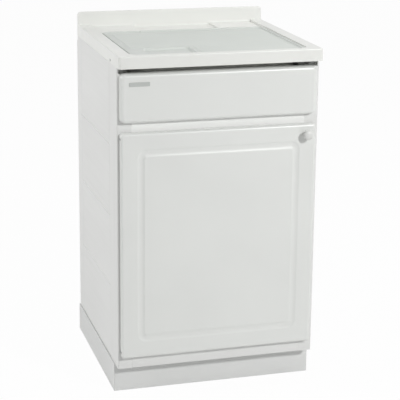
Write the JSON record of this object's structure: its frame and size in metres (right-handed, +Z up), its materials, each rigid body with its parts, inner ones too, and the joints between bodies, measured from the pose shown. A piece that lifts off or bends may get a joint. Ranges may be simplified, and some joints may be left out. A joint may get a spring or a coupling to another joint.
{
  "type": "utility laundry sink cabinet",
  "caption": "Free-standing utility laundry sink: deep moulded tub with a lift-off washboard lid on a plank-sided cabinet with a false drawer front and an overlay door.",
  "frame": {"origin": "bottom centre of the whole object's box, on the floor", "axes": "+Z up, the front with the door faces -Y, +X to the right seen from the front"},
  "size_m": [0.506, 0.516, 0.8845],
  "materials": {
    "tub": "moulded white plastic, soft gloss",
    "lid": "moulded white plastic, satin",
    "cabinet": "extruded white plastic, satin",
    "front": "white film on the front boards, soft gloss",
    "plate": "plain pale grey plate",
    "plinth": "white plastic board, satin",
    "fittings": "white moulded plastic fittings",
    "pipework": "white pipe plastic",
    "rubber": "black rubber",
    "steel": "zinc-plated steel",
    "dark_steel": "dark screw heads",
    "bright_steel": "polished steel"
  },
  "bodies": {
    "cabinet": {"catch_body": "fittings", "fascia": "front", "fascia_blank_plate": "plate", "fascia_screws": "steel", "floor_panel": "cabinet", "front_bottom_rail": "cabinet", "front_mid_rail": "cabinet", "front_top_rail": "cabinet", "hinge_screws": "steel", "left_floor_batten": "cabinet", "left_front_post": "cabinet", "left_rear_post": "cabinet", "left_side_plank_1": "cabinet", "left_side_plank_2": "cabinet", "left_side_plank_3": "cabinet", "left_side_plank_4": "cabinet", "lower_hinge_bracket": "steel", "outlet_nut": "pipework", "outlet_pipe": "pipework", "overflow_pipe": "pipework", "overflow_rosette": "bright_steel", "plinth_corner_blocks": "plinth", "plinth_front": "plinth", "plinth_left": "plinth", "plinth_rear": "plinth", "plinth_right": "plinth", "rear_bottom_rail": "cabinet", "rear_top_rail": "cabinet", "right_floor_batten": "cabinet", "right_front_post": "cabinet", "right_rear_post": "cabinet", "right_side_plank_1": "cabinet", "right_side_plank_2": "cabinet", "right_side_plank_3": "cabinet", "right_side_plank_4": "cabinet", "trap_bottle": "pipework", "trap_cup": "pipework", "trap_top_nut": "pipework", "tub": "tub", "tub_brackets": "fittings", "tub_screws": "dark_steel", "upper_hinge_bracket": "steel", "waste_body": "pipework", "waste_screw": "steel", "waste_seal": "rubber", "waste_strainer": "bright_steel"},
    "door": {"door": "front", "door_knob": "front", "knob_screw": "steel", "strike_plate": "steel", "door_bumpers": "rubber", "upper_hinge_pin": "steel", "lower_hinge_pin": "steel"},
    "lid": {"washboard_lid": "lid"},
    "plug": {"waste_plug": "rubber"}
  },
  "joints": [
    {"name": "door_hinge", "type": "hinge", "parent": "cabinet", "child": "door", "pos_m": [-0.2395, -0.226, 0.3845], "axis": [0, 0, -1], "range_deg": [0, 100]},
    {"name": "lid_lift", "type": "slide", "parent": "cabinet", "child": "lid", "axis": [0, 0, 1], "range_m": [0, 0.1]},
    {"name": "plug_lift", "type": "slide", "parent": "cabinet", "child": "plug", "axis": [0, 0, 1], "range_m": [0, 0.05]}
  ]
}
